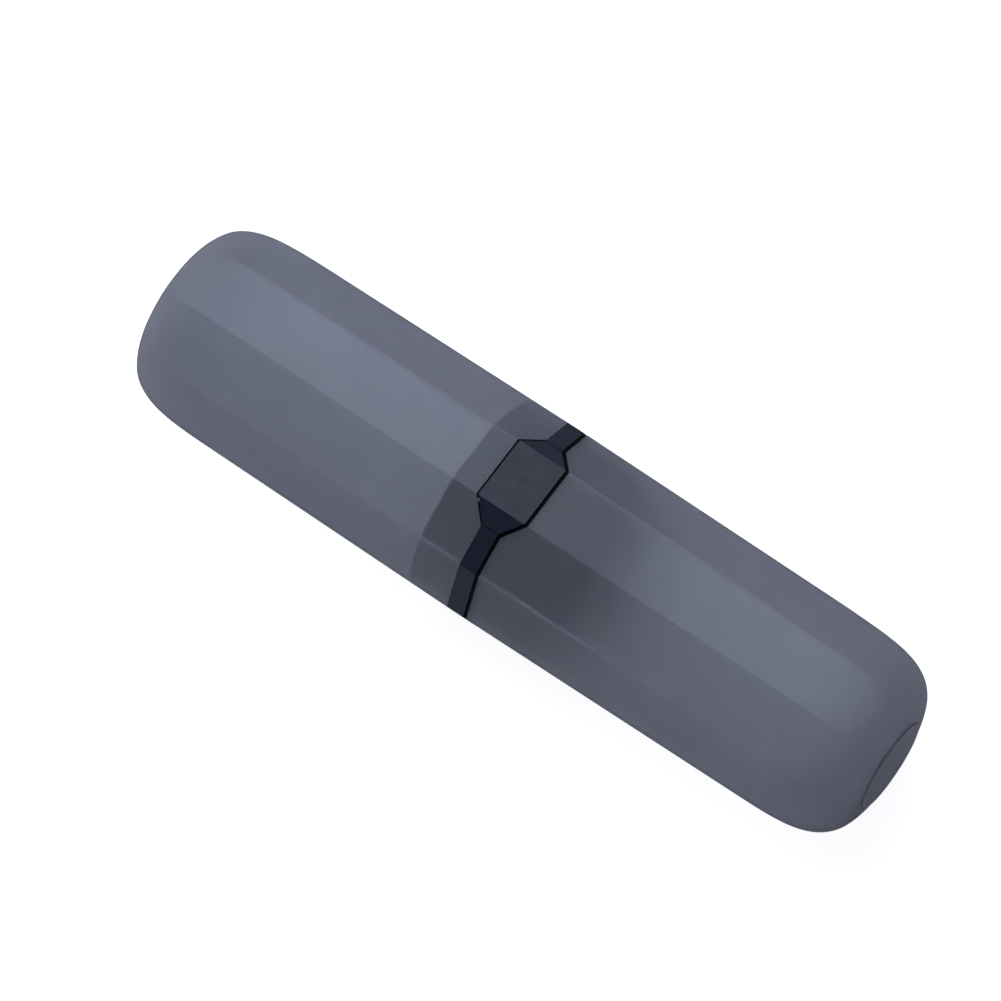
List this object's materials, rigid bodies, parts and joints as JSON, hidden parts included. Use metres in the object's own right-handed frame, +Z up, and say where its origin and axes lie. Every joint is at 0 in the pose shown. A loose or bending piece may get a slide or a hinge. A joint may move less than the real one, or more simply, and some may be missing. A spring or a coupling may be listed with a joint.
{
  "type": "toothbrush travel case",
  "caption": "Ten-sided tube case for an electric toothbrush: frosted base and pull-off lid, a dark collar with a push button, and a soft guide inside.",
  "frame": {"origin": "middle of the case's bounding box, on the surface that the case lies on", "axes": "+X along the case from the base shell to the lid, +Z up through the button, +Y across"},
  "size_m": [0.2276, 0.06, 0.0571],
  "materials": {
    "shell_smoke": "moulded translucent smoke-grey plastic with a fine frosted texture",
    "collar_charcoal": "satin moulded opaque plastic",
    "sleeve_charcoal": "smooth moulded opaque plastic",
    "seal_rubber": "soft black silicone",
    "mechanism_black": "plain moulded acetal",
    "spring_steel": "drawn spring wire",
    "guide_elastomer": "soft-touch thermoplastic elastomer",
    "cup_silicone": "pale frosted silicone"
  },
  "bodies": {
    "base": {"base_shell": "shell_smoke", "collar_band": "collar_charcoal", "coupling_sleeve": "sleeve_charcoal", "joint_gasket": "seal_rubber", "button_bridge": "mechanism_black", "button_spring_left": "spring_steel", "button_spring_right": "spring_steel", "handle_guide": "guide_elastomer", "guide_lip": "guide_elastomer", "handle_cup": "cup_silicone"},
    "lid": {"lid_shell": "shell_smoke"},
    "button": {"release_button": "collar_charcoal", "latch_tongue": "mechanism_black"}
  },
  "joints": [
    {"name": "lid_slide", "type": "slide", "parent": "base", "child": "lid", "axis": [1, 0, 0], "range_m": [0, 0.06]},
    {"name": "button_press", "type": "slide", "parent": "base", "child": "button", "axis": [0, 0, -1], "range_m": [0, 0.0008], "stiffness_N_per_m": 1500, "deforming": ["button_spring_left", "button_spring_right"]}
  ]
}
